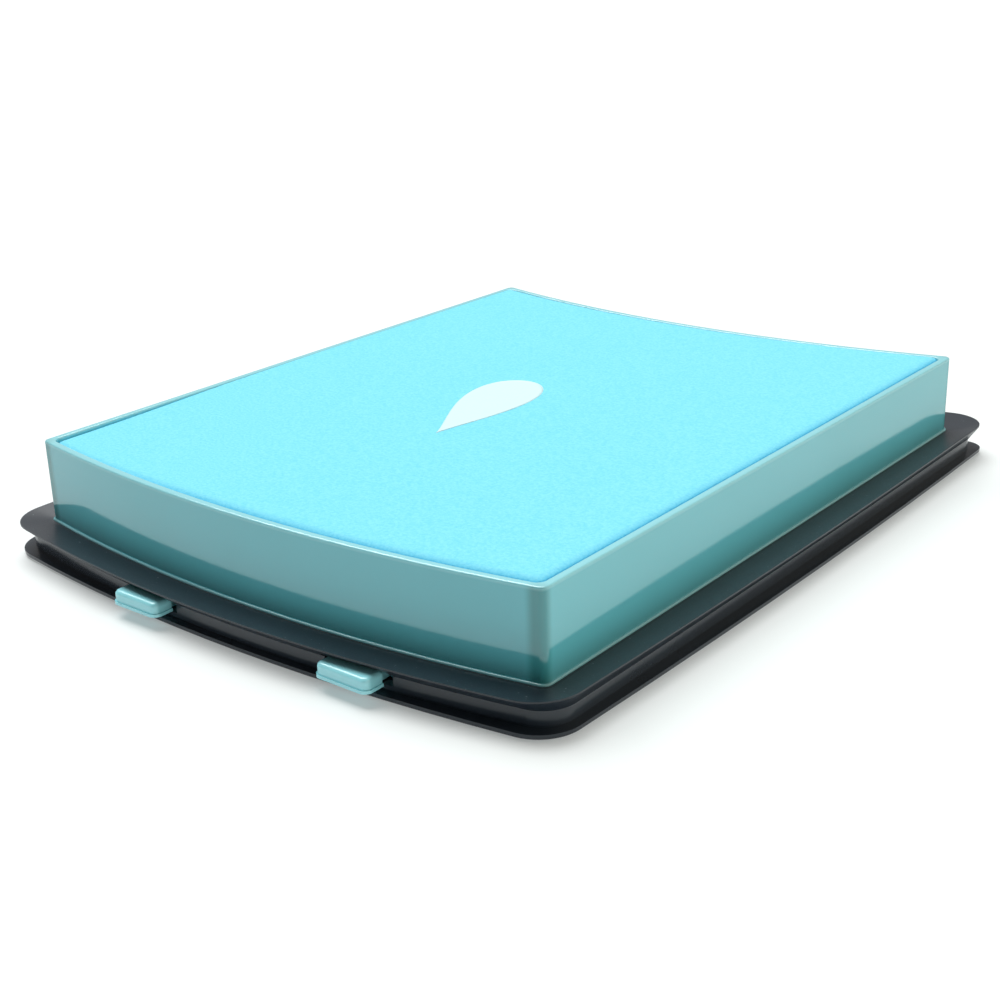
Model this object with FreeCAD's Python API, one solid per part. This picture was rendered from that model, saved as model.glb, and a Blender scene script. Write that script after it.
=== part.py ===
"""Wet palette: a water tray with its foam pad on a low base with two push latches.

Units are millimetres. +X runs along the latch side, +Y from the latch side to the back, +Z up.
While the parts are modelled, z = 0 is the plane that the tray stands on and y = 0 is the line
through the tray's front corners. export() then moves everything so that the origin is the middle
of the footprint, on the table.
"""
import FreeCAD
import Part

import math
import os
from collections import namedtuple

V = FreeCAD.Vector
UP = V(0, 0, 1)

# An outline says how far a shape reaches past the tray's walls at its sides, front and back, the
# radii of its front and back corners, how far its sides bow outward in their middle, and by how
# much its front bows less than the tray's.
Outline = namedtuple("Outline", "side front back front_corner back_corner side_bow flatter")

# ---- driving dimensions: tray and foam ------------------------------------------------------
TRAY_WIDTH = 150.0        # across the tray's outer walls, along the latch side
TRAY_DEPTH = 182.5        # front corner to back corner
TRAY_HEIGHT = 20.4        # rim above the plane the tray stands on
FRONT_BOW = 7.2           # the latch side bulges outward by this much in its middle
BACK_BOW = 9.5            # the back side curves inward by this much in its middle
TRAY_WALL = 2.0
TRAY_FLOOR = 1.8
TRAY_CORNER = 1.6         # radius of the tray's upright corners, outside
TRAY_INNER_CORNER = 2.0
TRAY_RECESS = 1.5         # height of the hollow under the tray's floor
RIM_ROUND = 0.45
FLOOR_ROUND = 1.0         # fillet between the tray's floor and walls
FOOT_BEAD = 0.5           # small bead around the foot of the tray's walls
FOOT_BEAD_ROUND = 0.4

FOAM_BELOW_RIM = 0.4
FOAM_GAP = 0.3            # clearance between the foam and the tray's floor
FOAM_SIDE_GAP = 0.3       # clearance between the foam and the tray's walls
FOAM_CORNER = 2.6
FOAM_ROUND = 1.6

# ---- driving dimensions: base ---------------------------------------------------------------
SEAL_EDGE = Outline(7.3, 9.0, 11.5, 11.0, 9.0, 1.5, 0.0)      # outer edge of the seal lip
WEB_FACE = Outline(5.4, 5.4, 7.0, 7.5, 6.0, 0.6, 0.0)         # upright outer face of the deck
PAN_EDGE = Outline(7.3, 8.6, 9.1, 10.0, 5.0, 1.7, 1.4)        # outer edge of the pan

SEAL_THICK = 0.9          # under the tray's walls
SEAL_RISE = 1.0           # the lip's outer edge stands this far above the tray's foot
SEAL_EDGE_THICK = 0.35
SEAL_FLAT = 1.2           # the lip is flat this far past the tray's walls, then it rises
SEAL_LAND = 0.3           # width of the flat along the lip's outer edge
SEAL_INSET = 2.4          # the seal lip reaches this far under the tray
SEAL_FIT = 0.05           # gap between the seal lip and the deck
SKIRT_DROP = 2.3          # the seal's underside runs down to the deck's web, this far below the tray
SKIRT_PROUD = 0.3         # the seal's lower end stands this far proud of the web
SKIRT_THICK = 0.8         # thickness of the seal's lower end

WEB_THICK = 2.0
DECK_PLATE = 1.4
PLATEAU = 1.2             # height of the deck's plateau, which fits the hollow under the tray
PLATEAU_CORNER = 3.0
PLATEAU_ROUND = 0.4
GROOVE_FLOOR = 5.8        # the pan's top is this far below the tray's foot, beside the web

PAN_FLOOR = 1.3
PAN_SLOPE = 0.2           # the pan's top falls by this much to its outer edge
PAN_ROUND = 0.4
PANEL_INSET = 24.0        # shallow panel sunk into the pan's underside
PANEL_CORNER = 7.5
PANEL_DEPTH = 0.4

FOOT_DIAMETER = 12.0
FOOT_THICK = 1.2
FOOT_PROUD = 0.5
FOOT_ROUND = 0.3
FOOT_FIT = 0.1
FOOT_PLACES = {"front_left": (-60.0, 10.0), "front_right": (60.0, 10.0),
               "back_left": (-60.0, 170.0), "back_right": (60.0, 170.0)}

# ---- driving dimensions: latches ------------------------------------------------------------
LATCH_PLACES = {"left": -24.7, "right": 36.6}     # middle of each latch along the latch side
LATCH_WIDTH = 14.6
LATCH_REACH = 11.0        # outer face of the button past the tray's walls, not pressed
LATCH_TRAVEL = 3.0
LATCH_DROP = 4.5          # underside of the latch below the tray's foot
LATCH_HEAD_THICK = 3.2
LATCH_HEAD_LENGTH = 5.1
LATCH_CORNER = 1.9
LATCH_ROUND = 1.0
LATCH_STEP = 0.3          # a thin flange stands out this far around the button's lower edge
LATCH_FLANGE = 0.7        # thickness of that flange
LATCH_TAIL_THICK = 1.7
LATCH_EAR_WIDTH = 25.0    # ears behind the web stop the button from falling out
LATCH_EAR_LENGTH = 2.2
LATCH_EAR_GAP = 0.1
LATCH_TAIL_WIDTH = 9.0
LATCH_TAIL_LENGTH = 12.0
LATCH_NECK_INSET = 2.0    # the neck behind the head is this much narrower, at each side
LATCH_JOIN = 1.0          # a latch's head, neck, ears and tail run this far into each other
SLOT_PLAY = 0.3           # clearance above, below and beside the button in its slot
SLOT_SIDE = 1.2           # the slot is this much wider than the button, at each end

SPRING_DIAMETER = 3.0
SPRING_WIRE = 0.5
SPRING_LENGTH = 12.0
SPRING_TURNS = 7
SPRING_GAP = 0.05         # gap at each end of a spring
SPRING_PAD = 1.6          # thickness of the pad in front of a spring and the stop behind it
PEG_DIAMETER = 1.6        # peg on the latch's tail that centres the spring
PEG_LENGTH = 2.5
PAD_MARGIN = 0.5          # the pad reaches this far past the spring, at each side
SPRING_LIFT = 0.2         # gap between a spring and the pan

RAIL_THICK = 1.2
RAIL_LENGTH = 10.0
RAIL_START = 0.6          # the rails start this far behind the pressed latch's ears
BED_LENGTH = 6.0          # bed that a latch's tail slides on, between its rails

# ---- driving dimensions: screws -------------------------------------------------------------
SCREW_DIAMETER = 2.2
SCREW_PLAY = 0.4
SCREW_HEAD = 4.4
SCREW_HEAD_PLAY = 0.2
SCREW_HEAD_THICK = 0.8
SCREW_LENGTH = 5.0
SCREW_SINK = 0.1          # the screw heads sit this far inside the pan's underside
SCREW_RECESS = (2.4, 0.5, 0.5)    # length, width and depth of the cross recess
BOSS_DIAMETER = 5.6
BOSS_ROOF = 0.8           # the pilot holes stop this far below the plateau's top
SCREW_PLACES = [(x, y) for y in (30.0, 90.0, 150.0) for x in (-62.0, 62.0)]

# ---- heights and insets worked out from them ------------------------------------------------
DECK_Z = -SEAL_THICK                      # top of the deck's plate under the seal lip
PLATE_UNDER_Z = DECK_Z - DECK_PLATE       # underside of the deck's plate
PLATEAU_UNDER_Z = PLATEAU - DECK_PLATE    # underside of the deck's plateau
PAN_Z = -GROOVE_FLOOR                     # top of the pan
PAN_EDGE_Z = PAN_Z - PAN_SLOPE
PAN_BOTTOM_Z = PAN_Z - PAN_FLOOR
TABLE_Z = PAN_BOTTOM_Z - FOOT_PROUD
SKIRT_Z = -SKIRT_DROP
LATCH_Z = -LATCH_DROP
SPRING_Z = PAN_Z + SPRING_LIFT + SPRING_DIAMETER / 2      # height of the springs' axes
PLATEAU_INSET = SEAL_INSET + SEAL_FIT
CAVITY_INSET = PLATEAU_INSET + DECK_PLATE
TRAY_FLOOR_Z = TRAY_RECESS + TRAY_FLOOR
FLAT_TOLERANCE = 1e-4
UPRIGHT = 0.999           # an edge is upright when its direction's Z is above this
SHARP_ANGLE = 0.2         # faces that meet at more than this angle, in radians, make a sharp edge


# ---- outlines -------------------------------------------------------------------------------
def bow_radius(bow):
    """Radius of the arc that bows by this much over the tray's width."""
    half = TRAY_WIDTH / 2
    return (half * half + bow * bow) / (2 * bow)


def front_y(x, outline):
    """Where the front of an outline passes x."""
    bow = FRONT_BOW - outline.flatter
    radius = bow_radius(bow) + outline.front
    return radius - bow - outline.front - math.sqrt(radius * radius - x * x)


def back_y(x, outline):
    """Where the back of an outline passes x."""
    radius = bow_radius(BACK_BOW) - outline.back
    return TRAY_DEPTH - BACK_BOW + outline.back + radius - math.sqrt(radius * radius - x * x)


def around_tray(offset, corner):
    """The tray's own outline, moved outward by offset."""
    return Outline(offset, offset, offset, corner, corner, 0.0, 0.0)


def inside(outline, inset):
    """An outline moved inward."""
    return outline._replace(side=outline.side - inset, front=outline.front - inset,
                            back=outline.back - inset, front_corner=outline.front_corner - inset,
                            back_corner=outline.back_corner - inset)


def prism(outline, z_low, z_high):
    """An outline as an upright solid."""
    side = TRAY_WIDTH / 2 + outline.side
    low, high = front_y(side, outline), back_y(side, outline)
    corners = [V(-side, low, z_low), V(side, low, z_low), V(side, high, z_low), V(-side, high, z_low)]
    edges = [Part.Arc(corners[0], V(0, front_y(0, outline), z_low), corners[1]),
             side_line(corners[1], corners[2], outline.side_bow),
             Part.Arc(corners[2], V(0, back_y(0, outline), z_low), corners[3]),
             side_line(corners[3], corners[0], -outline.side_bow)]
    solid = Part.Face(Part.Wire([edge.toShape() for edge in edges])).extrude(V(0, 0, z_high - z_low))
    middle = (low + high) / 2
    front = [edge for edge in upright_edges(solid) if edge.BoundBox.YMax < middle]
    solid = solid.makeFillet(outline.front_corner, front)
    back = [edge for edge in upright_edges(solid) if edge.BoundBox.YMin > middle]
    return solid.makeFillet(outline.back_corner, back)


def side_line(start, end, bow):
    """One side of an outline: straight, or an arc that bows along X."""
    if bow == 0:
        return Part.LineSegment(start, end)
    return Part.Arc(start, (start + end) / 2 + V(bow, 0, 0), end)


def upright_edges(solid):
    """The sharp upright edges between a solid's side faces."""
    found = []
    for edge in solid.Edges:
        straight = isinstance(edge.Curve, Part.Line)
        if straight and abs(edge.tangentAt(edge.FirstParameter).z) > UPRIGHT and is_sharp(solid, edge):
            found.append(edge)
    return found


def is_sharp(solid, edge):
    """Whether the two faces at an upright edge meet at an angle."""
    point = edge.valueAt((edge.FirstParameter + edge.LastParameter) / 2)
    normals = []
    for face in solid.ancestorsOfType(edge, Part.Face):
        normals.append(face.normalAt(*face.Surface.parameter(point)))
    return normals[0].getAngle(normals[1]) > SHARP_ANGLE


def edges_at(solid, z):
    """The edges of a solid that lie wholly at height z."""
    return [edge for edge in solid.Edges
            if abs(edge.BoundBox.ZMin - z) + abs(edge.BoundBox.ZMax - z) < FLAT_TOLERANCE]


def outer_wire(solid, z):
    """The longest wire of the solid's flat face at height z."""
    flat = [face for face in solid.Faces
            if abs(face.BoundBox.ZMin - z) + abs(face.BoundBox.ZMax - z) < FLAT_TOLERANCE]
    return max((face.OuterWire for face in flat), key=lambda wire: wire.Length)


def slope(low_outline, z_low, high_outline, z_high):
    """A solid whose sides run straight from one outline up to another."""
    low = outer_wire(prism(low_outline, z_low, z_high), z_low)
    high = outer_wire(prism(high_outline, z_low, z_high), z_high)
    return Part.makeLoft([low, high], True, True)


def block(x_middle, width, y_low, y_high, z_low, z_high):
    """A box centred on x_middle."""
    return Part.makeBox(width, y_high - y_low, z_high - z_low, V(x_middle - width / 2, y_low, z_low))


def post(x, y, diameter, z_low, z_high):
    """An upright round post."""
    return Part.makeCylinder(diameter / 2, z_high - z_low, V(x, y, z_low), UP)


# ---- water tray and foam --------------------------------------------------------------------
def make_tray():
    """Open box with a hollow under its floor, a round rim and a small bead around its foot."""
    body = prism(around_tray(0, TRAY_CORNER), 0, TRAY_HEIGHT)
    bead = prism(around_tray(FOOT_BEAD, TRAY_CORNER + FOOT_BEAD), 0, FOOT_BEAD)
    bead = bead.makeFillet(FOOT_BEAD_ROUND, edges_at(bead, FOOT_BEAD))
    body = body.fuse(bead).removeSplitter()
    inner = around_tray(-TRAY_WALL, TRAY_INNER_CORNER)
    body = body.cut(prism(inner, TRAY_FLOOR_Z, TRAY_HEIGHT)).cut(prism(inner, 0, TRAY_RECESS))
    body = body.makeFillet(RIM_ROUND, edges_at(body, TRAY_HEIGHT))
    return body.makeFillet(FLOOR_ROUND, edges_at(body, TRAY_FLOOR_Z))


def make_foam():
    """Sponge pad that fills the tray to just under its rim."""
    low = TRAY_FLOOR_Z + FOAM_GAP
    high = TRAY_HEIGHT - FOAM_BELOW_RIM
    pad = prism(around_tray(-TRAY_WALL - FOAM_SIDE_GAP, FOAM_CORNER), low, high)
    return pad.makeFillet(FOAM_ROUND, edges_at(pad, high) + edges_at(pad, low))


# ---- base -----------------------------------------------------------------------------------
def latch_slot(x):
    """Room for a latch's head, from in front of the base to behind its web."""
    button_front = front_y(x, around_tray(LATCH_REACH, TRAY_CORNER))
    web_back = front_y(x, around_tray(0, TRAY_CORNER))
    top = LATCH_Z + LATCH_HEAD_THICK + SLOT_PLAY
    return block(x, LATCH_WIDTH + 2 * SLOT_SIDE, button_front, web_back, LATCH_Z - SLOT_PLAY, top)


def make_seal_lip():
    """Soft ring around the tray: it rises to a thin outer edge, and slopes back to the web below it."""
    edge_low = SEAL_RISE - SEAL_EDGE_THICK
    ring = slope(inside(WEB_FACE, -SKIRT_PROUD), SKIRT_Z, SEAL_EDGE, edge_low)
    ring = ring.fuse(prism(SEAL_EDGE, edge_low, SEAL_RISE)).removeSplitter()
    flat = around_tray(SEAL_FLAT, TRAY_CORNER + SEAL_FLAT)
    dish = slope(flat, 0, inside(SEAL_EDGE, SEAL_LAND), SEAL_RISE)
    ring = ring.cut(dish).cut(prism(flat, 0, SEAL_RISE))
    ring = ring.cut(prism(around_tray(-SEAL_INSET, PLATEAU_CORNER), DECK_Z, 0))
    ring = ring.cut(prism(inside(WEB_FACE, SKIRT_THICK - SKIRT_PROUD), SKIRT_Z, DECK_Z))
    for x in LATCH_PLACES.values():
        ring = ring.cut(latch_slot(x))
    return ring


def make_deck():
    """Upper half of the base: plate, plateau and web, with the latch slots and screw bosses."""
    deck = prism(WEB_FACE, PAN_Z, SKIRT_Z)
    neck = inside(WEB_FACE, SKIRT_THICK - SKIRT_PROUD + SEAL_FIT)
    deck = deck.fuse(prism(neck, SKIRT_Z, DECK_Z)).removeSplitter()
    plateau = prism(around_tray(-PLATEAU_INSET, PLATEAU_CORNER), DECK_Z, PLATEAU)
    deck = deck.fuse(plateau).removeSplitter()
    deck = deck.makeFillet(PLATEAU_ROUND, edges_at(deck, PLATEAU))
    deck = deck.cut(prism(inside(WEB_FACE, WEB_THICK), PAN_Z, PLATE_UNDER_Z))
    deck = deck.cut(prism(around_tray(-CAVITY_INSET, PLATEAU_CORNER), PLATE_UNDER_Z, PLATEAU_UNDER_Z))
    for x, y in SCREW_PLACES:
        deck = deck.fuse(post(x, y, BOSS_DIAMETER, PAN_Z, PLATEAU_UNDER_Z))
    for x, y in SCREW_PLACES:
        deck = deck.cut(post(x, y, SCREW_DIAMETER, PAN_Z, PLATEAU - BOSS_ROOF))
    for x in LATCH_PLACES.values():
        deck = deck.cut(latch_slot(x))
    return deck


def make_pan():
    """Lower half of the base: floor and edge, latch rails, spring stops, seats for feet and screws."""
    pan = prism(PAN_EDGE, PAN_BOTTOM_Z, PAN_EDGE_Z)
    pan = pan.makeFillet(PAN_ROUND, edges_at(pan, PAN_BOTTOM_Z))
    pan = pan.fuse(slope(PAN_EDGE, PAN_EDGE_Z, WEB_FACE, PAN_Z)).removeSplitter()
    panel = around_tray(-PANEL_INSET, PANEL_CORNER)
    pan = pan.cut(prism(panel, PAN_BOTTOM_Z, PAN_BOTTOM_Z + PANEL_DEPTH))
    for x in LATCH_PLACES.values():
        pan = pan.fuse(latch_rails(x))
    for x, y in FOOT_PLACES.values():
        pan = pan.cut(post(x, y, FOOT_DIAMETER, PAN_BOTTOM_Z, PAN_BOTTOM_Z + FOOT_THICK - FOOT_PROUD))
    for x, y in SCREW_PLACES:
        pan = pan.cut(post(x, y, SCREW_DIAMETER + SCREW_PLAY, PAN_BOTTOM_Z, PAN_Z))
        seat_top = PAN_BOTTOM_Z + SCREW_HEAD_THICK
        pan = pan.cut(post(x, y, SCREW_HEAD + SCREW_HEAD_PLAY, PAN_BOTTOM_Z, seat_top))
    return pan


def latch_rear(x):
    """Where the rear ends of the latch's ears, tail and spring are, along Y."""
    web_inner = inside(WEB_FACE, WEB_THICK)
    web = max(front_y(x + side * LATCH_EAR_WIDTH / 2, web_inner) for side in (-1, 1))
    ears = web + LATCH_EAR_GAP + LATCH_EAR_LENGTH
    tail = ears + LATCH_TAIL_LENGTH
    return ears, tail, tail + SPRING_LENGTH


def latch_rails(x):
    """Two rails and a bed that guide a latch's tail, and the stop behind its spring."""
    ears, _, spring_end = latch_rear(x)
    start = ears + LATCH_TRAVEL + RAIL_START
    gap = LATCH_TAIL_WIDTH + 2 * SLOT_PLAY
    pieces = [block(x, gap, start, start + BED_LENGTH, PAN_Z, LATCH_Z - LATCH_EAR_GAP)]
    for side in (-1, 1):
        rail_x = x + side * (gap + RAIL_THICK) / 2
        rail_top = PLATE_UNDER_Z - SEAL_FIT
        pieces.append(block(rail_x, RAIL_THICK, start, start + RAIL_LENGTH, PAN_Z, rail_top))
    stop_width = SPRING_DIAMETER + 2 * RAIL_THICK
    stop_top = PLATEAU_UNDER_Z - SEAL_FIT
    pieces.append(block(x, stop_width, spring_end, spring_end + SPRING_PAD, PAN_Z, stop_top))
    return pieces[0].fuse(pieces[1:])


# ---- latches --------------------------------------------------------------------------------
def rounded_front(x, width, face, rear, top, corner):
    """A block that stands at the latch's underside, with its two upright front edges rounded."""
    solid = block(x, width, face, rear, LATCH_Z, top)
    front = [edge for edge in upright_edges(solid) if edge.BoundBox.YMax < face + corner]
    return solid.makeFillet(corner, front)


def make_latch(x):
    """Push button: a rounded head out in the groove, ears behind the web and a tail for the spring."""
    face = front_y(x, around_tray(LATCH_REACH, TRAY_CORNER))
    head_rear = face + LATCH_HEAD_LENGTH
    head_top = LATCH_Z + LATCH_HEAD_THICK
    flange = rounded_front(x, LATCH_WIDTH, face, head_rear, LATCH_Z + LATCH_FLANGE, LATCH_CORNER)
    inset_face = face + LATCH_STEP
    corner = LATCH_CORNER - LATCH_STEP
    head = rounded_front(x, LATCH_WIDTH - 2 * LATCH_STEP, inset_face, head_rear, head_top, corner)
    around_top = [edge for edge in edges_at(head, head_top) if edge.BoundBox.YMin < inset_face + corner]
    head = head.makeFillet(LATCH_ROUND, around_top)
    ears_rear, tail_rear, _ = latch_rear(x)
    tail_top = LATCH_Z + LATCH_TAIL_THICK
    neck_width = LATCH_WIDTH - 2 * LATCH_NECK_INSET
    neck = block(x, neck_width, head_rear - LATCH_JOIN, ears_rear, LATCH_Z, tail_top)
    ears = block(x, LATCH_EAR_WIDTH, ears_rear - LATCH_EAR_LENGTH, ears_rear, LATCH_Z, tail_top)
    tail = block(x, LATCH_TAIL_WIDTH, ears_rear - LATCH_JOIN, tail_rear, LATCH_Z, tail_top)
    pad_low = PAN_Z + LATCH_EAR_GAP
    pad_width = SPRING_DIAMETER + 2 * PAD_MARGIN
    pad = block(x, pad_width, tail_rear - SPRING_PAD / 2, tail_rear, pad_low, tail_top)
    peg = Part.makeCylinder(PEG_DIAMETER / 2, PEG_LENGTH, V(x, tail_rear, SPRING_Z), V(0, 1, 0))
    return head.fuse([flange, neck, ears, tail, pad, peg]).removeSplitter()


def make_spring(x):
    """Compression spring between the latch's tail and its stop, with its axis along Y."""
    _, tail_rear, _ = latch_rear(x)
    radius = (SPRING_DIAMETER - SPRING_WIRE) / 2
    length = SPRING_LENGTH - SPRING_WIRE - 2 * SPRING_GAP
    helix = Part.makeHelix(length / SPRING_TURNS, length, radius)
    start = Part.Wire(Part.makeCircle(SPRING_WIRE / 2, V(radius, 0, 0), V(0, 1, 0)))
    coil = Part.Wire(helix.Edges).makePipeShell([start], True, True)
    coil.rotate(V(0, 0, 0), V(1, 0, 0), -90)
    coil.translate(V(x, tail_rear + SPRING_WIRE / 2 + SPRING_GAP, SPRING_Z))
    return coil


# ---- feet and screws ------------------------------------------------------------------------
def make_foot(x, y):
    """Soft round foot that sits in its seat under the pan."""
    foot = post(x, y, FOOT_DIAMETER - FOOT_FIT, TABLE_Z, TABLE_Z + FOOT_THICK)
    return foot.makeFillet(FOOT_ROUND, edges_at(foot, TABLE_Z))


def make_screw(x, y):
    """Self-tapping screw with a flat head and a cross recess, driven up from below."""
    low = PAN_BOTTOM_Z + SCREW_SINK
    seat = PAN_BOTTOM_Z + SCREW_HEAD_THICK
    screw = post(x, y, SCREW_HEAD, low, seat).fuse(post(x, y, SCREW_DIAMETER, seat, low + SCREW_LENGTH))
    screw = screw.removeSplitter()
    length, width, depth = SCREW_RECESS
    for size_x, size_y in ((length, width), (width, length)):
        screw = screw.cut(Part.makeBox(size_x, size_y, depth, V(x - size_x / 2, y - size_y / 2, low)))
    return screw


# ---- export ---------------------------------------------------------------------------------
def build():
    """Every node's solids, by node name."""
    nodes = {"tray": [make_tray()],
             "foam_pad": [make_foam()],
             "seal_lip": [make_seal_lip()],
             "base_deck": [make_deck()],
             "base_pan": [make_pan()],
             "base_screws": [make_screw(x, y) for x, y in SCREW_PLACES]}
    for place, x in LATCH_PLACES.items():
        nodes["latch_button_" + place] = [make_latch(x)]
        nodes["latch_spring_" + place] = [make_spring(x)]
    for place, (x, y) in FOOT_PLACES.items():
        nodes["foot_" + place] = [make_foot(x, y)]
    return nodes


def export(nodes):
    """Moves the origin to the middle of the footprint and writes one STEP file per node."""
    os.makedirs("parts", exist_ok=True)
    whole = Part.makeCompound([solid for solids in nodes.values() for solid in solids]).optimalBoundingBox()
    shift = V(-(whole.XMin + whole.XMax) / 2, -(whole.YMin + whole.YMax) / 2, -TABLE_Z)
    sizes = [round(length, 2) for length in (whole.XLength, whole.YLength, whole.ZLength)]
    print("size", sizes, "moved by", shift)
    for name, solids in nodes.items():
        shape = solids[0] if len(solids) == 1 else Part.makeCompound(solids)
        shape.translate(shift)
        state = "valid" if shape.isValid() else "not valid"
        print(name, state, len(shape.Solids), "solids", round(shape.Volume), "mm3")
        shape.exportStep("parts/" + name + ".step")


export(build())
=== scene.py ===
"""Looks of the wet palette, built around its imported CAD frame.

Metres, +Z up, latch side towards -Y.
"""

import math

import bmesh
import bpy
from mathutils import Matrix, Vector, noise as math_noise


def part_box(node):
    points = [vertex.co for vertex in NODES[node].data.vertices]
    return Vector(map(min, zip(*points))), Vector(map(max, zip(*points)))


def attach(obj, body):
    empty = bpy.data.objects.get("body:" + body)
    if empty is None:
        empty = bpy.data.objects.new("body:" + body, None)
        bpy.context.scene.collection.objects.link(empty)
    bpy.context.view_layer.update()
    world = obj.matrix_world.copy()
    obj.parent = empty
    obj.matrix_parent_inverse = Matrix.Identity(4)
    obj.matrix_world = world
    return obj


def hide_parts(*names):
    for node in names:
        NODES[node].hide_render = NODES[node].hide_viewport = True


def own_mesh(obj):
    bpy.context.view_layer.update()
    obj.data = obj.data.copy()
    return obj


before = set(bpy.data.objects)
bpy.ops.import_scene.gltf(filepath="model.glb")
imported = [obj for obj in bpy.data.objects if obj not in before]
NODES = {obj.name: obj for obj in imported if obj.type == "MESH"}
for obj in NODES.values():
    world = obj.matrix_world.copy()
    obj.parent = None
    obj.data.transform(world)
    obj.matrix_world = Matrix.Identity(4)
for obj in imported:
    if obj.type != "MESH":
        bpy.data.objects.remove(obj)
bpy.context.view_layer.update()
MM = 0.001


# ---- node helpers -------------------------------------------------------------------------
def new_material(name, **sockets):
    """A material with a Principled shader, and constants set on the shader's own sockets."""
    material = bpy.data.materials.new(name)
    material.use_nodes = True
    shader = material.node_tree.nodes["Principled BSDF"]
    for socket, value in sockets.items():
        shader.inputs[socket.replace("_", " ")].default_value = value
    return material, material.node_tree, shader


def node(tree, kind, inputs=None, **settings):
    """A shader node with some of its settings and inputs given."""
    made = tree.nodes.new("ShaderNode" + kind)
    for name, value in settings.items():
        setattr(made, name, value)
    for name, value in (inputs or {}).items():
        made.inputs[name].default_value = value
    return made


def noise(tree, scale, detail=3.0, roughness=0.5, stretch=None):
    """Noise in object coordinates, which are metres."""
    coordinates = node(tree, "TexCoord")
    source = coordinates.outputs["Object"]
    if stretch:
        mapping = node(tree, "Mapping", {"Scale": stretch})
        tree.links.new(source, mapping.inputs["Vector"])
        source = mapping.outputs["Vector"]
    made = node(tree, "TexNoise", {"Scale": scale, "Detail": detail, "Roughness": roughness})
    tree.links.new(source, made.inputs["Vector"])
    return made.outputs["Fac"]


def ramp(tree, value, stops):
    """A colour ramp over value. stops are (position, grey or colour)."""
    made = node(tree, "ValToRGB")
    elements = made.color_ramp.elements
    while len(elements) < len(stops):
        elements.new(0.5)
    for element, (position, colour) in zip(elements, stops):
        element.position = position
        element.color = (*colour, 1) if isinstance(colour, tuple) else (colour, colour, colour, 1)
    tree.links.new(value, made.inputs["Fac"])
    return made.outputs["Color"]


def mixed(tree, share, one, other):
    """Two colours, each an output or a constant, mixed by a share output."""
    mix = node(tree, "Mix", data_type="RGBA")
    tree.links.new(share, mix.inputs[0])
    for socket, colour in ((mix.inputs[6], one), (mix.inputs[7], other)):
        if isinstance(colour, tuple):
            socket.default_value = (*colour, 1)
        else:
            tree.links.new(colour, socket)
    return mix.outputs[2]


def between(tree, value, start, end, low, high, **settings):
    """An output that goes from low to high while value goes from start to end."""
    limits = {"From Min": start, "From Max": end, "To Min": low, "To Max": high}
    made = node(tree, "MapRange", limits, **settings)
    tree.links.new(value, made.inputs["Value"])
    return made.outputs["Result"]


def bump(tree, shader, *layers):
    """Stacks bump layers. Each is (height output, strength, distance in metres)."""
    normal = None
    for height, strength, distance in layers:
        made = node(tree, "Bump", {"Strength": strength, "Distance": distance})
        tree.links.new(height, made.inputs["Height"])
        if normal:
            tree.links.new(normal, made.inputs["Normal"])
        normal = made.outputs["Normal"]
    tree.links.new(normal, shader.inputs["Normal"])


# ---- materials ----------------------------------------------------------------------------
TUCK_SHADE_MASK = "tuck"                   # how far a place on the foam is tucked in at its edge, 0 to 1, and the mask of its painted shade
TRAY_LOW, TRAY_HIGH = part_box("tray")
FRONT_BOW = 7.2 * MM            # the front's corners lie this far behind the front's middle
CORNER_IN = 1.5 * MM            # the upright corners' middles, in from the tray's sides, where the painted shade is centred
TRAY_CORNERS = [(TRAY_HIGH.x - CORNER_IN, y, 0) for y in (TRAY_LOW.y + FRONT_BOW, TRAY_HIGH.y)]
CORNER_SHADE_FULL = 1.1 * MM          # the painted corner shade is full out to here,
CORNER_SHADE_FADE = 3.4 * MM          # and gone from here
CORNER_SHADE_TEAL = (0.050, 0.290, 0.315)
# Painted highlight: a paler teal along the rim's top and on the foot bead
RIM_HIGHLIGHT_TEAL = (0.42, 0.82, 0.88)
RIM_HIGHLIGHT_FADE = 0.9 * MM
RIM_HIGHLIGHT_SHARE = 0.6                 # share of the painted highlight teal at the rim's top
FOOT_BEAD = 0.55 * MM           # height of the bead round the tray's foot
FOOT_HIGHLIGHT_FADE = 0.12 * MM
FOOT_HIGHLIGHT_SHARE = 0.5                # share of the painted highlight teal on the bead
TEAL_IOR = 1.75                 # glossier than plain plastic, as the photographed tray is
TEAL_MARKED = 1.8               # its handling marks are this many times as rough
BLACK_IOR = 1.5
BLACK_GRAINED = 1.35            # its grain is this many times as rough
DUST_GREY = (0.35, 0.40, 0.42)
FOAM_SHINE = 0.15
EDGE_SHADE_POWER = 1.6                # keeps the painted shade's deeper blue close to the foam's edge
INK_IN_PORES = 0.96             # the printed white is this share as bright in the pores


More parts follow.
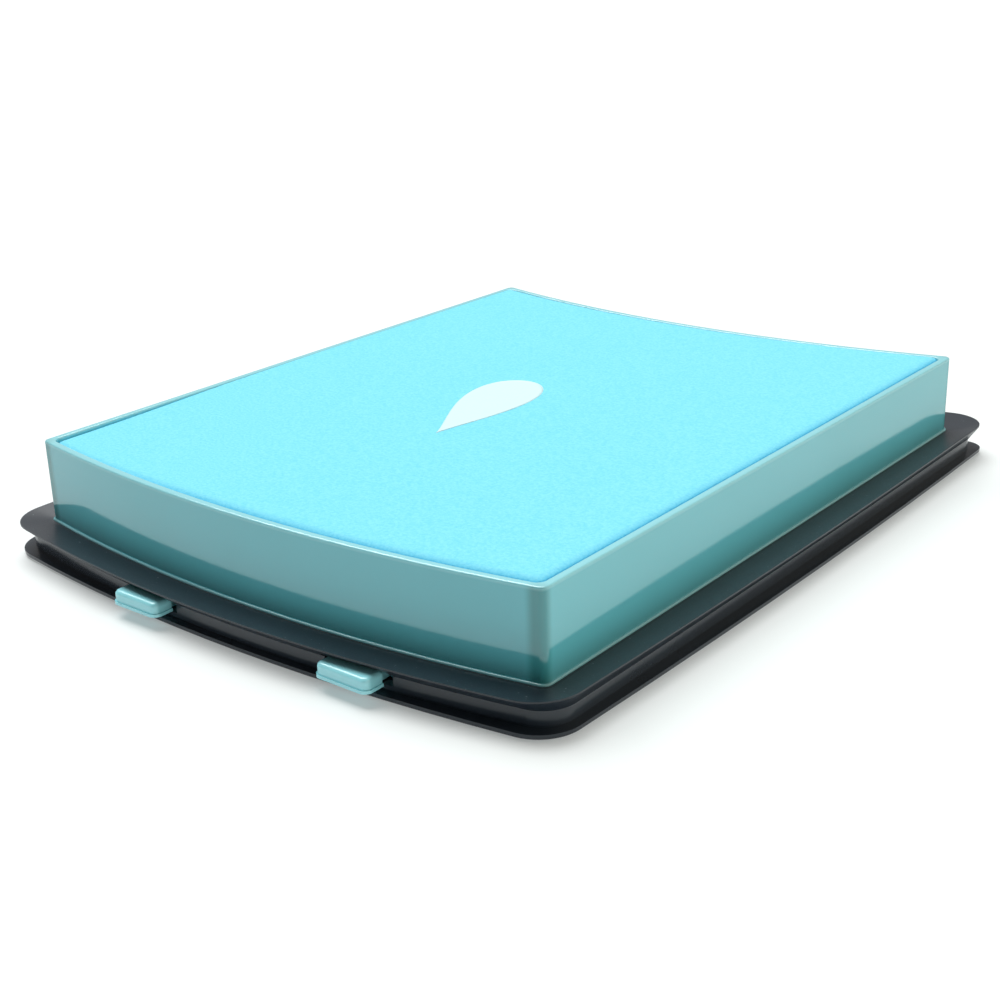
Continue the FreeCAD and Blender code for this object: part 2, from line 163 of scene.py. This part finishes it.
def tray_painted_light(tree, base):
    """Painted highlight along the tray's rim and foot bead, and painted shade down its upright
    corners.
    """
    place = node(tree, "TexCoord").outputs["Object"]
    axes = node(tree, "SeparateXYZ")
    tree.links.new(place, axes.inputs[0])
    bead_top = TRAY_LOW.z + FOOT_BEAD
    rim = between(tree, axes.outputs["Z"], TRAY_HIGH.z - RIM_HIGHLIGHT_FADE, TRAY_HIGH.z, 0.0, RIM_HIGHLIGHT_SHARE)
    foot = between(tree, axes.outputs["Z"], bead_top - FOOT_HIGHLIGHT_FADE, bead_top, FOOT_HIGHLIGHT_SHARE, 0.0)
    # Share of the painted highlight, on the rim's top and on the foot bead
    painted_highlight_share = node(tree, "Math", operation="MAXIMUM")
    tree.links.new(rim, painted_highlight_share.inputs[0])
    tree.links.new(foot, painted_highlight_share.inputs[1])

    # The corners are given for the right half, so X is taken without its sign.
    unsigned = node(tree, "VectorMath", operation="ABSOLUTE")
    tree.links.new(place, unsigned.inputs[0])
    unsigned_axes = node(tree, "SeparateXYZ")
    tree.links.new(unsigned.outputs["Vector"], unsigned_axes.inputs[0])
    folded = node(tree, "CombineXYZ")
    tree.links.new(unsigned_axes.outputs["X"], folded.inputs["X"])
    tree.links.new(axes.outputs["Y"], folded.inputs["Y"])
    nearest = node(tree, "Math", operation="MINIMUM")
    for i, corner in enumerate(TRAY_CORNERS):
        away = node(tree, "VectorMath", {1: corner}, operation="DISTANCE")
        tree.links.new(folded.outputs["Vector"], away.inputs[0])
        tree.links.new(away.outputs["Value"], nearest.inputs[i])
    # Painted shade: a deeper teal down the upright corners
    painted_corner_shade = between(tree, nearest.outputs["Value"], CORNER_SHADE_FULL, CORNER_SHADE_FADE, 1.0, 0.0,
                    interpolation_type="SMOOTHSTEP")
    return mixed(tree, painted_highlight_share.outputs["Value"], mixed(tree, painted_corner_shade, base, CORNER_SHADE_TEAL), RIM_HIGHLIGHT_TEAL)


def moulded_teal(name, low, high, roughness, painted_light=None):
    """Glossy moulded plastic: faint colour drift, slight waviness and fine handling marks; the
    optional edge function paints highlight and shade into its colour.
    """
    material, tree, shader = new_material(name, IOR=TEAL_IOR)
    base = ramp(tree, noise(tree, 22.0, 2.0), [(0.3, low), (0.7, high)])
    if painted_light:
        base = painted_light(tree, base)
    tree.links.new(base, shader.inputs["Base Color"])
    marks = noise(tree, 900.0, 4.0, 0.6, (1, 1, 0.25))
    rough = ramp(tree, marks, [(0.35, roughness), (0.75, roughness * TEAL_MARKED)])
    tree.links.new(rough, shader.inputs["Roughness"])
    bump(tree, shader, (noise(tree, 60.0, 2.0), 0.05, 0.2 * MM), (marks, 0.02, 0.05 * MM))
    return material


def satin_black(name, low, high, roughness, grain_depth, dust=0.0):
    """Dark moulded plastic or rubber with a fine satin grain, and specks of dust."""
    material, tree, shader = new_material(name, IOR=BLACK_IOR)
    drift = noise(tree, 35.0, 3.0)
    base = ramp(tree, drift, [(0.3, low), (0.7, high)])
    if dust:
        specks = ramp(tree, noise(tree, 1500.0, 1.0), [(0.76, 0.0), (0.80, dust)])
        base = mixed(tree, specks, base, DUST_GREY)
    tree.links.new(base, shader.inputs["Base Color"])
    grain = noise(tree, 2600.0, 3.0, 0.6)
    rough = ramp(tree, grain, [(0.3, roughness), (0.8, roughness * BLACK_GRAINED)])
    tree.links.new(rough, shader.inputs["Roughness"])
    bump(tree, shader, (noise(tree, 90.0, 2.0), 0.04, 0.1 * MM), (grain, grain_depth, 0.02 * MM))
    return material


def foam_material(face, tucked_shade):
    """Fine open-cell foam: dense pores, matte, with painted shade, a deeper blue, where it is
    tucked in at its edges.
    """
    material, tree, shader = new_material("foam_blue", Roughness=0.95)
    shader.inputs["Specular IOR Level"].default_value = FOAM_SHINE
    pores = noise(tree, 1500.0, 4.0, 0.65)
    # The tuck, raised to a power, is the share of the painted shade
    edge_shade_share = node(tree, "Math", {1: EDGE_SHADE_POWER}, operation="POWER")
    tree.links.new(node(tree, "Attribute", attribute_name=TUCK_SHADE_MASK).outputs["Fac"], edge_shade_share.inputs[0])
    face, tucked_shade = (ramp(tree, pores, [(0.32, low), (0.62, high)])
                    for low, high in (face, tucked_shade))
    colour = mixed(tree, edge_shade_share.outputs["Value"], face, tucked_shade)
    tree.links.new(colour, shader.inputs["Base Color"])
    bump(tree, shader, (noise(tree, 60.0, 2.0), 0.2, 0.4 * MM), (pores, 0.5, 0.22 * MM))
    return material


def print_material(name, colour):
    """White ink on foam: the pores show through as a faint grain."""
    material, tree, shader = new_material(name, Roughness=0.8)
    pores = noise(tree, 1700.0, 3.0, 0.6)
    dark = tuple(INK_IN_PORES * c for c in colour)
    tree.links.new(ramp(tree, pores, [(0.3, dark), (0.7, colour)]), shader.inputs["Base Color"])
    bump(tree, shader, (pores, 0.3, 0.1 * MM))
    return material


def steel(name, grey):
    """Bright drawn or turned steel."""
    material, tree, shader = new_material(name, Metallic=1.0)
    lines = noise(tree, 700.0, 3.0, 0.6)
    tree.links.new(ramp(tree, lines, [(0.3, grey * 0.8), (0.7, grey)]), shader.inputs["Base Color"])
    tree.links.new(ramp(tree, lines, [(0.3, 0.28), (0.7, 0.42)]), shader.inputs["Roughness"])
    bump(tree, shader, (lines, 0.05, 0.05 * MM))
    return material


TEAL = moulded_teal("tray_teal", (0.122, 0.500, 0.565), (0.132, 0.525, 0.600),
                    roughness=0.07, painted_light=tray_painted_light)
# Much paler than the tray's teal: partly a lighter plastic, partly painted light standing in for
# the light on the latch tops
BUTTON = moulded_teal("latch_teal", (0.33, 0.80, 0.88), (0.35, 0.82, 0.90), roughness=0.16)
SEAL = satin_black("seal_rubber", (0.013, 0.020, 0.029), (0.016, 0.024, 0.034),
                   roughness=0.30, grain_depth=0.012, dust=0.5)
BASE = satin_black("base_black", (0.020, 0.029, 0.040), (0.025, 0.035, 0.048),
                   roughness=0.17, grain_depth=0.002)
FEET = satin_black("foot_rubber", (0.02, 0.02, 0.02), (0.03, 0.03, 0.03),
                   roughness=0.6, grain_depth=0.1)
# The tucked colours are painted shade, a deeper blue along the pad's edges
FOAM = foam_material(face=((0.172, 0.660, 0.860), (0.250, 0.750, 0.910)),
                     tucked_shade=((0.065, 0.500, 0.860), (0.095, 0.585, 0.915)))
PRINT = print_material("print_white", (0.62, 0.86, 0.90))
STEEL = steel("steel", 0.6)
NODE_MATERIALS = {"tray": TEAL, "seal_lip": SEAL, "base_screws": STEEL,
                  "base_deck": BASE, "base_pan": BASE,
                  "latch_button_left": BUTTON, "latch_button_right": BUTTON,
                  "foot_front_left": FEET, "foot_front_right": FEET,
                  "foot_back_left": FEET, "foot_back_right": FEET}
for name, material in NODE_MATERIALS.items():
    NODES[name].data.materials.clear()
    NODES[name].data.materials.append(material)


# ---- mesh helpers -------------------------------------------------------------------------
def new_object(name, mesh_data, material, body):
    """A smooth-shaded mesh from bmesh data, riding on a CAD body."""
    bmesh.ops.recalc_face_normals(mesh_data, faces=mesh_data.faces)
    for face in mesh_data.faces:
        face.smooth = True
    mesh = bpy.data.meshes.new(name)
    mesh_data.to_mesh(mesh)
    mesh_data.free()
    mesh.materials.append(material)
    made = bpy.data.objects.new(name, mesh)
    bpy.context.scene.collection.objects.link(made)
    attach(made, body)
    return made


def steps(start, end, spacing):
    """Evenly spaced values from start to end, both included."""
    count = max(1, round((end - start) / spacing))
    return [start + (end - start) * i / count for i in range(count + 1)]


# ---- foam pad -----------------------------------------------------------------------------
FOAM_LOW, FOAM_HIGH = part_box("foam_pad")
BACK_BOW = 9.5 * MM             # FRONT_BOW and this one are over the tray's width
BOW_HALF_WIDTH = 75.0 * MM
FOAM_SPREAD = 0.22 * MM         # the damp pad has swollen towards the walls by this much
FOAM_CORNER = 1.8 * MM          # radius of the upright corners
FOAM_ROUND = 0.55 * MM          # radius of the cut edges
FOAM_SWELL = 0.85 * MM          # the pad's face stands this far above its tucked edges
FOAM_LIFT = -0.10 * MM          # height of those edges over the cut height, before rounding
FOAM_TUCK_NEAR = 2.3 * MM       # width of the tucked band, and of its painted shade, along the front and the right
FOAM_TUCK_FAR = 1.0 * MM        # and along the back and the left
FOAM_SINK = 1.05 * MM           # the pad's front left corner is pressed down by this much
FOAM_SINK_REACH = 46.0 * MM
FOAM_RIPPLE = 0.08 * MM
FOAM_RIPPLES = 28               # ripples' noise scale, per metre
FOAM_CELL = 2.0 * MM            # spacing of the mesh in the open
FOAM_LEFT, FOAM_RIGHT = FOAM_LOW.x - FOAM_SPREAD, FOAM_HIGH.x + FOAM_SPREAD


def bow(x, depth):
    """How far an arc with this bow has fallen back from its middle at x."""
    radius = (BOW_HALF_WIDTH ** 2 + depth ** 2) / (2 * depth)
    return radius - math.sqrt(radius ** 2 - x ** 2)


def foam_front(x):
    return FOAM_LOW.y - FOAM_SPREAD + bow(x, FRONT_BOW)


def foam_back(x):
    return FOAM_HIGH.y + FOAM_SPREAD - bow(FOAM_HIGH.x, BACK_BOW) + bow(x, BACK_BOW)


def foam_plan(u, v):
    """Plan place and way in from the edge, for a grid place from the left and front edges."""
    x = FOAM_LEFT + u
    low, high = foam_front(x), foam_back(x)
    y = low + (high - low) * v / (foam_back(0) - foam_front(0))
    from_side, from_end = min(x - FOAM_LEFT, FOAM_RIGHT - x), min(y - low, high - y)
    if from_side >= FOAM_CORNER or from_end >= FOAM_CORNER:
        return x, y, min(from_side, from_end)
    du, dv = FOAM_CORNER - from_side, FOAM_CORNER - from_end
    reach = max(du, dv)
    pull = 1 - reach / math.hypot(du, dv)
    x += du * pull * (1 if x < 0 else -1)
    y += dv * pull * (1 if y < (low + high) / 2 else -1)
    return x, y, FOAM_CORNER - reach


def foam_edge(way_in):
    """How far the pad's rounded edge lies below its face, this far in from the edge."""
    if way_in >= FOAM_ROUND:
        return 0.0
    return FOAM_ROUND - math.sqrt(FOAM_ROUND ** 2 - (FOAM_ROUND - way_in) ** 2)


def foam_tuck(x, y):
    """How far the pad is tucked in at its edge here: 1 at the walls, 0 in the open."""
    risen = 1.0
    for way_in, reach in ((y - foam_front(x), FOAM_TUCK_NEAR), (FOAM_RIGHT - x, FOAM_TUCK_NEAR),
                          (foam_back(x) - y, FOAM_TUCK_FAR), (x - FOAM_LEFT, FOAM_TUCK_FAR)):
        share = min(max(way_in, 0.0) / reach, 1.0)
        risen *= 1 - (1 - share) ** 2
    return 1 - risen


def foam_face(x, y, tuck):
    """How far the pad's face stands above its cut height."""
    corner = math.hypot(x - FOAM_LEFT, y - foam_front(x)) / FOAM_SINK_REACH
    ripple = FOAM_RIPPLE * math_noise.noise(Vector((x, y, 0)) * FOAM_RIPPLES)
    return FOAM_LIFT + FOAM_SWELL * (1 - tuck) - FOAM_SINK * math.exp(-corner ** 2) + ripple


def edge_places(length):
    """Places across the pad: close together where its edge is rounded, then even."""
    fine = [FOAM_ROUND * (1 - math.cos(math.radians(a))) for a in range(0, 90, 10)]
    fine += steps(FOAM_ROUND, FOAM_TUCK_NEAR, FOAM_CELL / 5)[:-1]
    middle = steps(FOAM_TUCK_NEAR, length - FOAM_TUCK_NEAR, FOAM_CELL)
    return fine + middle + [length - place for place in reversed(fine)]


def make_foam():
    """Foam pad: a slightly swollen block with softened edges, close against the walls."""
    across = edge_places(FOAM_RIGHT - FOAM_LEFT)
    along = edge_places(foam_back(0) - foam_front(0))
    data = bmesh.new()
    # Each top vertex keeps its tuck, which the foam's material turns into painted shade
    tucks = data.verts.layers.float.new(TUCK_SHADE_MASK)
    sheets = []
    for top in (True, False):
        sheet = []
        for u in across:
            row = []
            for v in along:
                x, y, way_in = foam_plan(u, v)
                z, tuck = FOAM_LOW.z + foam_edge(way_in), 1.0
                if top:
                    tuck = foam_tuck(x, y)
                    z = FOAM_HIGH.z - foam_edge(way_in) + foam_face(x, y, tuck)
                row.append(data.verts.new((x, y, z)))
                row[-1][tucks] = tuck
            sheet.append(row)
        sheets.append(sheet)
        for i in range(len(across) - 1):
            for j in range(len(along) - 1):
                data.faces.new((sheet[i][j], sheet[i + 1][j], sheet[i + 1][j + 1], sheet[i][j + 1]))
    rims = [border(sheet) for sheet in sheets]
    for i in range(len(rims[0])):
        j = (i + 1) % len(rims[0])
        data.faces.new((rims[0][i], rims[0][j], rims[1][j], rims[1][i]))
    pad = new_object("foam", data, FOAM, "foam")
    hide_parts("foam_pad")
    return pad


def border(sheet):
    """The vertices round a grid of vertices, in order."""
    near = [row[0] for row in sheet]
    far = [row[-1] for row in sheet]
    return near + sheet[-1][1:-1] + far[::-1] + sheet[0][1:-1][::-1]


# ---- printed drop -------------------------------------------------------------------------
DROP_TIP = Vector((1.3 * MM, -32.4 * MM))
DROP_END = Vector((-6.1 * MM, 13.0 * MM))
DROP_WIDTH = 18.0 * MM
DROP_THICK = 0.08 * MM
DROP_OUTLINE = 72               # points round its outline
DROP_RINGS = 14                 # and rings of points inside it, which follow the foam


def drop_side(t):
    """How far the drop's side stands out, unscaled, for t from 0 at its point to 2 pi."""
    return math.sin(t) * math.sin(t / 2) ** 1.5


DROP_FULLNESS = max(drop_side(t / 50) for t in range(1, 157))


def make_drop(pad):
    """A plain water drop printed on the pad, point towards the latch side."""
    along = DROP_END - DROP_TIP
    middle, half = (DROP_TIP + DROP_END) / 2, along.length / 2
    ahead = along.normalized()
    aside = Vector((ahead.y, -ahead.x))
    data = bmesh.new()
    centre = data.verts.new(on_pad(pad, middle, DROP_THICK))
    rings = []
    for ring in range(1, DROP_RINGS + 1):
        share = ring / DROP_RINGS
        verts = []
        for i in range(DROP_OUTLINE):
            t = 2 * math.pi * i / DROP_OUTLINE
            out = drop_side(t) * DROP_WIDTH / 2 / DROP_FULLNESS
            place = middle + (ahead * (-math.cos(t)) * half + aside * out) * share
            verts.append(data.verts.new(on_pad(pad, place, DROP_THICK)))
        rings.append(verts)
    skirt = [data.verts.new(vert.co - Vector((0, 0, 2 * DROP_THICK))) for vert in rings[-1]]
    rings.append(skirt)
    for i in range(DROP_OUTLINE):
        j = (i + 1) % DROP_OUTLINE
        data.faces.new((centre, rings[0][i], rings[0][j]))
        for inner, outer in zip(rings, rings[1:]):
            data.faces.new((inner[i], outer[i], outer[j], inner[j]))
    return new_object("drop_print", data, PRINT, "foam")


def on_pad(pad, place, lift):
    """The point this far above the pad's face at a plan place."""
    above = (place.x, place.y, 1.0)
    hit, point, _, _ = pad.ray_cast(above, (0, 0, -1))
    if not hit:
        raise ValueError("the drop lies outside the pad")
    return Vector((place.x, place.y, point.z + lift))


# ---- latch springs ------------------------------------------------------------------------
SPRING_WIRE = 0.5 * MM
SPRING_TURNS = 9
SPRING_CLOSED = 1.0             # closed turns at each end
SPRING_REACH = 11.4 * MM        # length between the middles of a spring's end wires
WIRE_SIDES = 10
TURN_STEPS = 28


def make_spring(place):
    """Coil of steel wire between a latch's tail and its stop, with closed ends."""
    low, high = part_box("latch_spring_" + place)
    radius = (high.z - low.z - SPRING_WIRE) / 2
    axis = (low + high) / 2
    path = []
    for i in range(SPRING_TURNS * TURN_STEPS + 1):
        turn = i / TURN_STEPS
        angle = 2 * math.pi * turn
        x, z = axis.x + radius * math.cos(angle), axis.z + radius * math.sin(angle)
        y = low.y + SPRING_WIRE / 2 + spring_rise(turn) * (high.y - low.y - SPRING_WIRE)
        path.append(Vector((x, y, z)))
    data = bmesh.new()
    rings = [wire_ring(data, path, i) for i in range(len(path))]
    for one, other in zip(rings, rings[1:]):
        for i in range(WIRE_SIDES):
            j = (i + 1) % WIRE_SIDES
            data.faces.new((one[i], one[j], other[j], other[i]))
    data.faces.new(rings[0])
    data.faces.new(rings[-1])
    name = "latch_spring_" + place
    coil = new_object("coil_" + place, data, STEEL, "base")
    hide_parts(name)
    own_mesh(coil)


def spring_rise(turn):
    """Share of the spring's length reached after this many turns."""
    closed = SPRING_WIRE / SPRING_REACH
    open_turns = SPRING_TURNS - 2 * SPRING_CLOSED
    if turn < SPRING_CLOSED:
        return closed * turn / SPRING_CLOSED
    if turn > SPRING_TURNS - SPRING_CLOSED:
        return 1 - closed * (SPRING_TURNS - turn) / SPRING_CLOSED
    return closed + (1 - 2 * closed) * (turn - SPRING_CLOSED) / open_turns


def wire_ring(data, path, i):
    """Round section of the wire at one step of its path."""
    ahead = (path[min(i + 1, len(path) - 1)] - path[max(i - 1, 0)]).normalized()
    side = ahead.cross(Vector((0, 1, 0))).normalized()
    up = side.cross(ahead)
    ring = []
    for k in range(WIRE_SIDES):
        a = 2 * math.pi * k / WIRE_SIDES
        out = side * math.cos(a) + up * math.sin(a)
        ring.append(data.verts.new(path[i] + out * SPRING_WIRE / 2))
    return ring


foam = make_foam()
make_drop(foam)
for place in ("left", "right"):
    make_spring(place)


# ---- stage, lights and camera -------------------------------------------------------------
FLOOR_SIZE = 12.0
CAMERA_AZIMUTH = math.radians(38.93)
CAMERA_ELEVATION = math.radians(21.22)
CAMERA_ROLL = math.radians(-1.68)
CAMERA_FROM_TRAY = Vector((0.31054, -0.20251, 0.14063))     # from the low corner of its box
CAMERA_LENS = 56.7
KEY_FROM = Vector((-0.45, 0.22, 1.0))
KEY_STRENGTH = 3.5
KEY_ANGLE = math.radians(50)
ROOM_BACK = Vector((-0.80, 0.52, 0.25))     # the room is lighter here, behind the object,
ROOM_SIDE = Vector((0.93, 0.35, 0.10))      # and there is a warm white panel at the right
BACK_START, SIDE_START = 0.1, 0.4           # cosine of the angle off each where its light starts
LOBE_FULL = 0.95                            # and where it is full
ROOM_DARK, ROOM_LIGHT, SIDE_LIGHT = 0.05, 0.35, 1.02
ROOM_COLOUR, SIDE_COLOUR = (1.0, 1.0, 1.0), (1.0, 0.94, 0.80)
BACKDROP_TOP, BACKDROP_GONE = 0.05, 0.09    # the pale backdrop's edge, as heights in a unit sky
FLOOR_TINT = (0.86, 0.90, 0.895)
FLOOR_GLOW = 0.33           # the sheet it stands on is lit from below a little
FLOOR_SHADE = 0.71          # share of FLOOR_TINT that the floor reflects


def make_floor():
    """Plain pale floor, much larger than the view."""
    half = FLOOR_SIZE / 2
    mesh = bpy.data.meshes.new("floor")
    corners = [(-half, -half, 0), (half, -half, 0), (half, half, 0), (-half, half, 0)]
    mesh.from_pydata(corners, [], [(0, 1, 2, 3)])
    floor = bpy.data.objects.new("floor", mesh)
    bpy.context.scene.collection.objects.link(floor)
    shade = tuple(FLOOR_SHADE * c for c in FLOOR_TINT)
    material, _, _ = new_material("floor_white", Base_Color=(*shade, 1), Roughness=0.6,
                                  Emission_Color=(*FLOOR_TINT, 1), Emission_Strength=FLOOR_GLOW)
    mesh.materials.append(material)


def make_key():
    """One very large soft light from above, behind and left."""
    data = bpy.data.lights.new("key", "SUN")
    data.energy = KEY_STRENGTH
    data.angle = KEY_ANGLE
    lamp = bpy.data.objects.new("key", data)
    lamp.rotation_euler = KEY_FROM.to_track_quat("Z", "Y").to_euler()
    bpy.context.scene.collection.objects.link(lamp)


def lobe(tree, direction, start, low, high):
    """Strength that rises from low to high as a place in the sky nears this direction."""
    towards = node(tree, "VectorMath", operation="DOT_PRODUCT")
    tree.links.new(node(tree, "TexCoord").outputs["Generated"], towards.inputs[0])
    towards.inputs[1].default_value = direction.normalized()
    return between(tree, towards.outputs["Value"], start, LOBE_FULL, low, high)


def low_band(tree):
    """Strength of the pale backdrop: full up to just above the horizon, and none higher up."""
    height = node(tree, "SeparateXYZ")
    tree.links.new(node(tree, "TexCoord").outputs["Generated"], height.inputs[0])
    return between(tree, height.outputs["Z"], BACKDROP_TOP, BACKDROP_GONE, 1.0, 0.0)


def make_room():
    """Surroundings that are dim at the front, and lighter behind and to the right."""
    world = bpy.data.worlds.new("room")
    world.use_nodes = True
    tree = world.node_tree
    total = tree.nodes["Background"].outputs["Background"]
    tree.nodes["Background"].inputs["Strength"].default_value = 0.0
    for colour, strength in (
            (ROOM_COLOUR, lobe(tree, ROOM_BACK, BACK_START, ROOM_DARK, ROOM_LIGHT)),
            (SIDE_COLOUR, lobe(tree, ROOM_SIDE, SIDE_START, 0.0, SIDE_LIGHT)),
            (ROOM_COLOUR, low_band(tree))):
        part = node(tree, "Background", {"Color": (*colour, 1)})
        tree.links.new(strength, part.inputs["Strength"])
        both = node(tree, "AddShader")
        tree.links.new(total, both.inputs[0])
        tree.links.new(part.outputs["Background"], both.inputs[1])
        total = both.outputs["Shader"]
    tree.links.new(total, tree.nodes["World Output"].inputs["Surface"])
    bpy.context.scene.world = world


def make_camera():
    """Camera at the height and angle of a table-top photograph, tilted very slightly."""
    a, e = CAMERA_AZIMUTH, CAMERA_ELEVATION
    back = Vector((math.sin(a) * math.cos(e), -math.cos(a) * math.cos(e), math.sin(e)))
    right = Vector((math.cos(a), math.sin(a), 0))
    up = back.cross(right)
    turned_right = right * math.cos(CAMERA_ROLL) + up * math.sin(CAMERA_ROLL)
    turned_up = back.cross(turned_right)
    data = bpy.data.cameras.new("camera")
    data.lens = CAMERA_LENS
    camera = bpy.data.objects.new("camera", data)
    turn = Matrix((turned_right, turned_up, back)).transposed().to_4x4()
    camera.matrix_world = Matrix.Translation(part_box("tray")[0] + CAMERA_FROM_TRAY) @ turn
    bpy.context.scene.collection.objects.link(camera)
    bpy.context.scene.camera = camera


bpy.context.scene.view_settings.view_transform = "Standard"
make_floor()
make_key()
make_room()
make_camera()
